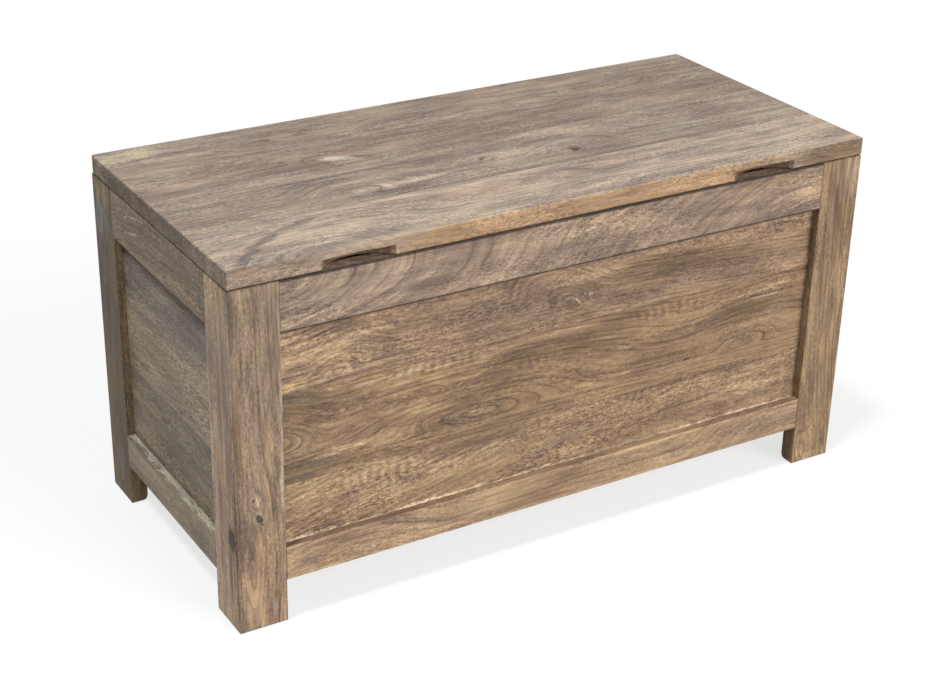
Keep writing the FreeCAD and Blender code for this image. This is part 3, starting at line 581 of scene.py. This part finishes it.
floor_tones = [(0.50, 0.37, 0.24), (0.46, 0.33, 0.21), (0.53, 0.395, 0.26), (0.48, 0.35, 0.23)]
for number, tone in enumerate(floor_tones):
    wood(f"floor_board_{number + 1}", "X", "Y", tone, heart=(0.2 - 0.15 * number, -0.5, 8.0, 0.0),
         lines=130.0, line_depth=0.35, worn=0.1)
cleat_tone = (0.50, 0.375, 0.25)
for side, along in (("front", "X"), ("back", "X"), ("left", "Y"), ("right", "Y")):
    wood(f"floor_cleat_{side}", along, "Z", cleat_tone, heart=(0.0, 0.0, 8.0, 0.0),
         lines=160.0, line_depth=0.3, worn=0.1)


# The lid: a slab of four boards glued edge to edge and planed, with two finger pulls cut up into the front
# edge. Its boards are toned a pale grey-brown, partly painted sheen of the light on its top.

fawn = (0.50, 0.40, 0.315)
straw = (0.50, 0.43, 0.29)
knot_white = (0.57, 0.50, 0.44)
mist = (0.30, 0.252, 0.208)
smoke = (0.165, 0.130, 0.110)
edge_gold = (0.420, 0.268, 0.158)
edge_taupe = (0.345, 0.250, 0.190)
edge_brown = (0.225, 0.147, 0.089)

wood("lid_front_board", "X", "Y", (0.412, 0.317, 0.251), heart=(0.0, -0.42, 9.0, 0.0),
     eyes=[(-0.360, -0.228, 2.4, 0.0, 0.045), (-0.100, -0.143, 9.0, 0.0, 0.026)],
     lines=110.0, speckle=0.62, line_depth=0.50, worn=0.25,
     stains=[(rose, -0.090, -0.143, 0.240, 0.024, 0.0, 0.61),
             (smoke, -0.453, -0.1930, 0.046, 0.0092, 46.0, 0.90),
             (smoke, -0.413, -0.1590, 0.046, 0.0092, 34.0, 0.90),
             (smoke, -0.362, -0.1335, 0.060, 0.0082, 18.0, 0.85),
             (fawn, -0.400, -0.205, 0.060, 0.012, 10.0, 0.47),
             (fawn, 0.360, -0.190, 0.120, 0.020, 10.0, 0.41),
             (plum, 0.020, -0.195, 0.050, 0.0096, 12.0, 0.43),
             (rose, 0.110, -0.142, 0.030, 0.012, 0.0, 0.47)],
     marks=[(umber, -0.3545, -0.188, 0.0050, 0.0016, 28.0, 0.70),
            (umber, -0.3520, -0.195, 0.0075, 0.0018, 22.0, 0.75)],
     edge_stains=[(edge_gold, 0.050, 0.510, 0.400, 0.060, 0.0, 0.95),
                  (edge_taupe, -0.440, 0.510, 0.140, 0.040, 0.0, 0.81),
                  (edge_brown, 0.470, 0.510, 0.110, 0.040, 0.0, 0.90),
                  # The two thin black edge stains under the roofs of the finger pulls are painted shadow.
                  (pitch, -0.320, 0.5092, 0.056, 0.0034, 0.0, 0.90),
                  (pitch, 0.320, 0.5092, 0.056, 0.0034, 0.0, 0.90)])
wood("lid_second_board", "X", "Y", (0.316, 0.238, 0.188), heart=(0.0, -0.28, 9.0, 0.0),
     eyes=[(-0.233, -0.070, 2.2, 0.0, 0.028),
           (-0.033, -0.044, 2.4, 0.0, 0.022),
           (0.098, -0.064, 2.4, 10.0, 0.026)],
     lines=120.0, speckle=0.62, line_depth=0.55,
     stains=[(fawn, 0.020, -0.060, 0.100, 0.040, 0.0, 0.25),
             (fawn, -0.150, -0.068, 0.070, 0.012, 0.0, 0.54),
             (fawn, -0.235, -0.070, 0.024, 0.008, 0.0, 0.41),
             (mist, 0.080, -0.038, 0.040, 0.026, 0.0, 0.61),
             (mist, 0.280, -0.058, 0.140, 0.030, -2.0, 0.68),
             (plum, -0.340, -0.060, 0.060, 0.020, 0.0, 0.47),
             (mist, -0.460, -0.030, 0.040, 0.030, 0.0, 0.41),
             (smoke, -0.220, -0.006, 0.190, 0.0060, 0.0, 0.90),
             (smoke, -0.260, -0.020, 0.110, 0.0060, -2.0, 0.90),
             (smoke, 0.250, -0.102, 0.230, 0.0060, 1.0, 0.90),
             (smoke, 0.130, -0.088, 0.060, 0.0096, 0.0, 0.60),
             (plum, -0.090, -0.052, 0.060, 0.008, 0.0, 0.47)],
     marks=[(umber, -0.033, -0.043, 0.0100, 0.0070, 20.0, 0.85),
            (pitch, -0.034, -0.043, 0.0050, 0.0035, 20.0, 0.60),
            (fawn, 0.082, -0.058, 0.0050, 0.0110, -15.0, 0.50),
            (plum, 0.068, -0.052, 0.0030, 0.0120, -20.0, 0.45),
            (umber, 0.105, -0.071, 0.0105, 0.0105, 0.0, 0.60),
            (pitch, 0.105, -0.071, 0.0085, 0.0085, 0.0, 0.88),
            (umber, 0.420, -0.040, 0.0130, 0.0050, 8.0, 0.55),
            (fawn, -0.355, -0.091, 0.0060, 0.0050, 0.0, 0.40)])
wood("lid_third_board", "X", "Y", (0.271, 0.200, 0.156), heart=(0.1, -0.16, 9.0, 0.0),
     eyes=[(-0.205, 0.053, 3.0, -12.0, 0.020)],
     lines=120.0, speckle=0.62, line_depth=0.59,
     stains=[(plum, -0.290, 0.060, 0.060, 0.020, 0.0, 0.54),
             (plum, -0.225, 0.046, 0.060, 0.016, -20.0, 0.61),
             (plum, 0.350, 0.078, 0.140, 0.018, 0.0, 0.47),
             (rose, -0.440, 0.060, 0.060, 0.020, 0.0, 0.41),
             (fawn, -0.300, 0.030, 0.070, 0.006, 0.0, 0.41),
             (smoke, -0.200, 0.011, 0.200, 0.0060, 0.0, 0.90),
             (knot_white, -0.2005, 0.0475, 0.0340, 0.0150, -24.0, 0.80),
             (umber, -0.174, 0.0410, 0.0260, 0.0056, -30.0, 0.85)],
     marks=[(fawn, -0.2150, 0.0515, 0.0200, 0.0060, -14.0, 0.40),
            (umber, -0.1790, 0.0465, 0.0060, 0.0100, -8.0, 0.65)])
wood("lid_back_board", "X", "Y", (0.280, 0.210, 0.161), heart=(-0.1, 0.40, 9.0, 0.0),
     eyes=[(0.280, 0.145, 3.6, 0.0, 0.030), (-0.160, 0.170, 6.0, 4.0, 0.018)],
     lines=120.0, speckle=0.62, line_depth=0.55,
     stains=[(plum, 0.130, 0.198, 0.190, 0.014, 0.0, 0.61),
             (fawn, -0.030, 0.134, 0.150, 0.016, 0.0, 0.47),
             (straw, -0.450, 0.190, 0.070, 0.034, 0.0, 0.54),
             (mist, -0.400, 0.165, 0.090, 0.020, 0.0, 0.34),
             (plum, -0.110, 0.178, 0.060, 0.008, 0.0, 0.47),
             (mist, 0.430, 0.195, 0.060, 0.020, 0.0, 0.47)],
     marks=[(umber, -0.450, 0.178, 0.0020, 0.0060, -20.0, 0.50),
            (umber, -0.356, 0.180, 0.0030, 0.0060, -25.0, 0.65),
            (umber, -0.346, 0.194, 0.0040, 0.0040, 0.0, 0.45),
            (umber, -0.454, 0.165, 0.0025, 0.0180, -10.0, 0.30)])


# Two battens across the lid's underside, which keep the slab flat. They are plain sanded wood, unstained,
# held by three screws each.

batten_tone = (0.49, 0.365, 0.245)
for side in ("left", "right"):
    wood(f"lid_batten_{side}", "Y", "X", batten_tone, heart=(0.0, 0.0, 8.0, 0.0),
         lines=150.0, line_depth=0.35, worn=0.2)


# The hinges, the lid stay and the cleats' screws: pressed and turned steel, zinc plated to a soft grey,
# with faint scratches and a duller bloom where it has been handled.

def plated_steel(name, bright, dull, roughness):
    material, shader, start = blank(name)
    place = start.node("TexCoord", {}, {}, "Object")
    bloom = start.node("TexNoise", {}, {"Vector": place, "Scale": 160.0, "Detail": 4.0})
    stretched = start.node("Mapping", {}, {"Vector": place, "Scale": (300.0, 2600.0, 2600.0)})
    scratch = start.node("TexNoise", {}, {"Vector": stretched, "Scale": 1.0, "Detail": 2.0})
    colour = bloom.ramp(0.35, 0.70).mixed(bright, dull)
    rough = roughness + 0.20 * bloom + 0.12 * (scratch - 0.5)
    bump = start.node("Bump", {}, {"Strength": 0.15, "Distance": 0.0002, "Height": scratch + bloom})
    colour.feeds(shader, "Base Color")
    rough.feeds(shader, "Roughness")
    bump.feeds(shader, "Normal")
    shader.inputs["Metallic"].default_value = 1.0
    return material


zinc = plated_steel("zinc_plate", bright=(0.62, 0.61, 0.58), dull=(0.45, 0.43, 0.41), roughness=0.22)
screw_zinc = plated_steel("screw_zinc", bright=(0.50, 0.47, 0.41), dull=(0.34, 0.31, 0.27), roughness=0.28)
for side in ("left", "right"):
    for piece in ("fixed_leaf", "lid_leaf", "pin"):
        finish(f"hinge_{piece}_{side}", zinc)
for piece in ("lower_arm", "upper_arm", "lower_pivot", "upper_pivot", "elbow_rivet"):
    finish(f"stay_{piece}", zinc)
finish("cleat_screws", screw_zinc)


# The screws of the hinges and battens, which show when the lid is up: countersunk steel with a cross recess
# pressed into the head, turned in until they lie flush.

def placed(name, data):
    made = bpy.data.objects.new(name, data)
    bpy.context.scene.collection.objects.link(made)
    return made


def recess_reach(angle, arm, half_width):
    """From the middle of a cross recess to its rim, in one direction."""
    never_zero = 1e-9
    sideways = abs(math.cos(angle)) + never_zero
    upwards = abs(math.sin(angle)) + never_zero
    return max(min(arm / sideways, half_width / upwards), min(half_width / sideways, arm / upwards))


def cross_screws(node, body, facing):
    """Draws the screws of a node round, with their heads facing up (1) or down (-1)."""
    sides = 48
    recess_depth = 0.0009
    head_height = 0.0016
    point_height = 0.004
    widest_head = 0.008
    same_level = 1e-5
    low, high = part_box(node)
    length = high.z - low.z
    head_level = high.z if facing > 0 else low.z
    heads = []
    for vertex in frame["nodes"][node].data.vertices:
        if abs(vertex.co.z - head_level) < same_level:
            near = [head for head in heads if (head[0] - vertex.co).length < widest_head]
            if near:
                near[0].append(vertex.co)
            else:
                heads.append([vertex.co])
    vertices = []
    faces = []
    for head in heads:
        middle_x = (min(point.x for point in head) + max(point.x for point in head)) / 2
        middle_y = (min(point.y for point in head) + max(point.y for point in head)) / 2
        rim = max(point.x for point in head) - middle_x
        shank = 0.51 * rim
        arm = 0.56 * rim
        arm_half_width = 0.17 * rim
        recess = [recess_reach(math.tau * side / sides, arm, arm_half_width) for side in range(sides)]
        recess_floor = [0.75 * reach for reach in recess]
        rings = [(recess_floor, recess_depth),
                 (recess, 0.0),
                 ([rim] * sides, 0.0),
                 ([shank] * sides, head_height),
                 ([shank] * sides, length - point_height)]
        first = len(vertices)
        for reaches, depth in rings:
            for side, reach in enumerate(reaches):
                angle = facing * math.tau * side / sides
                x = middle_x + reach * math.cos(angle)
                y = middle_y + reach * math.sin(angle)
                vertices.append((x, y, head_level - facing * depth))
        last = len(vertices) - sides
        recess_middle = len(vertices)
        tip = recess_middle + 1
        vertices.append((middle_x, middle_y, head_level - facing * recess_depth))
        vertices.append((middle_x, middle_y, head_level - facing * length))
        for side in range(sides):
            after = (side + 1) % sides
            faces.append((recess_middle, first + side, first + after))
            for ring in range(first, last, sides):
                faces.append((ring + side, ring + sides + side, ring + sides + after, ring + after))
            faces.append((tip, last + after, last + side))
    mesh = bpy.data.meshes.new(node + "_round")
    mesh.from_pydata(vertices, [], faces)
    mesh.materials.append(screw_zinc)
    mesh.shade_smooth()
    mesh.set_sharp_from_angle(angle=math.radians(30.0))
    screws = placed(node + "_round", mesh)
    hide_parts(node)
    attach(screws, body)


cross_screws("hinge_screws_rail", "carcass", 1)
cross_screws("hinge_screws_lid", "lid", -1)
cross_screws("batten_screws", "lid", -1)


# Two small pads under the lid's front corners, cut from pressed grey wool felt and glued on. They keep the
# lid from knocking on the front rail.

felt_dark = (0.12, 0.12, 0.12)
felt_pale = (0.26, 0.255, 0.25)
felt, felt_shader, felt_start = blank("grey_felt")
felt_place = felt_start.node("TexCoord", {}, {}, "Object")
wool_texture = {"Vector": felt_place, "Scale": 1400.0, "Detail": 4.0, "Roughness": 0.7}
wool = felt_start.node("TexNoise", {}, wool_texture)
nap = felt_start.node("Bump", {}, {"Strength": 0.6, "Distance": 0.0004, "Height": wool})
wool.mixed(felt_dark, felt_pale).feeds(felt_shader, "Base Color")
nap.feeds(felt_shader, "Normal")
felt_shader.inputs["Roughness"].default_value = 0.95
finish("lid_pads", felt)


# The studio: a pale floor that reads white and keeps a soft shadow, a white surround, a broad key light
# from the front right, a lamp overhead, a weak one behind, and a camera that looks down on the front left
# corner.

floor_reach = 12.0
floor_mesh = bpy.data.meshes.new("studio_floor")
corners = [(-floor_reach, -floor_reach, 0.0), (floor_reach, -floor_reach, 0.0),
           (floor_reach, floor_reach, 0.0), (-floor_reach, floor_reach, 0.0)]
floor_mesh.from_pydata(corners, [], [(0, 1, 2, 3)])
placed("studio_floor", floor_mesh)


def seen_directly(start):
    """1 for rays from the camera, a gloss or glass, 0 for the rays that light the object."""
    camera_ray = start.node("LightPath", {}, {}, "Is Camera Ray")
    glossy_ray = start.node("LightPath", {}, {}, "Is Glossy Ray")
    clear_ray = start.node("LightPath", {}, {}, "Is Transmission Ray")
    return camera_ray.maths("MAXIMUM", glossy_ray).maths("MAXIMUM", clear_ray)


floor_grey = 0.32
floor_white = 1.04
floor_paint = bpy.data.materials.new("floor_paint")
floor_paint.use_nodes = True
floor_output = floor_paint.node_tree.nodes["Material Output"]
floor_start = Socket(floor_paint.node_tree)
matt = floor_start.node("BsdfDiffuse", {}, {"Color": (floor_grey, floor_grey, floor_grey, 1.0)})
glow = floor_start.node("Emission", {}, {"Strength": floor_white - floor_grey})
lit = floor_start.node("AddShader", {}, {0: matt, 1: glow})
floor_finish = floor_start.node("MixShader", {}, {0: seen_directly(floor_start), 1: matt, 2: lit})
floor_finish.feeds(floor_output, "Surface")
floor_mesh.materials.append(floor_paint)

surround = bpy.data.worlds.new("surround")
surround.use_nodes = True
bpy.context.scene.world = surround
sky_start = Socket(surround.node_tree)
sky_light = (0.26, 0.27, 0.28)
white = (1.0, 1.0, 1.0)
sky = seen_directly(sky_start).mixed(sky_light, white)
sky.feeds(surround.node_tree.nodes["Background"], "Color")


def soft_sun(name, towards, level, colour, spread):
    """A broad, even light from one direction; at level 1 a white face square to it renders white."""
    lamp = bpy.data.lights.new(name, "SUN")
    lamp.energy = math.pi * level
    lamp.color = colour
    lamp.angle = math.radians(spread)
    holder = placed(name, lamp)
    holder.rotation_mode = "QUATERNION"
    holder.rotation_quaternion = Vector(towards).to_track_quat("Z", "Y")


soft_sun("key_light", towards=(0.35, -0.85, 0.40), level=0.74, colour=(1.0, 0.96, 0.91), spread=36.0)
soft_sun("top_light", towards=(-0.34, -0.10, 0.93), level=0.45, colour=(0.97, 1.0, 1.0), spread=9.0)
soft_sun("back_light", towards=(0.15, 1.0, 0.0), level=0.30, colour=(1.0, 0.98, 0.96), spread=36.0)

camera_place = (-1.3016, -2.10085, 1.4289)
camera_azimuth = -31.31
camera_elevation = 26.44
camera_roll = 1.21
camera_data = bpy.data.cameras.new("camera")
camera_data.sensor_fit = "HORIZONTAL"
camera_data.sensor_width = 36.0
camera_data.lens = 71.753
camera = placed("camera", camera_data)
heading = Matrix.Rotation(math.radians(camera_azimuth), 4, "Z")
pitch_down = Matrix.Rotation(math.radians(90.0 - camera_elevation), 4, "X")
tilt = Matrix.Rotation(math.radians(camera_roll), 4, "Z")
camera.matrix_world = Matrix.Translation(camera_place) @ heading @ pitch_down @ tilt
bpy.context.scene.camera = camera
bpy.context.scene.view_settings.view_transform = "Standard"
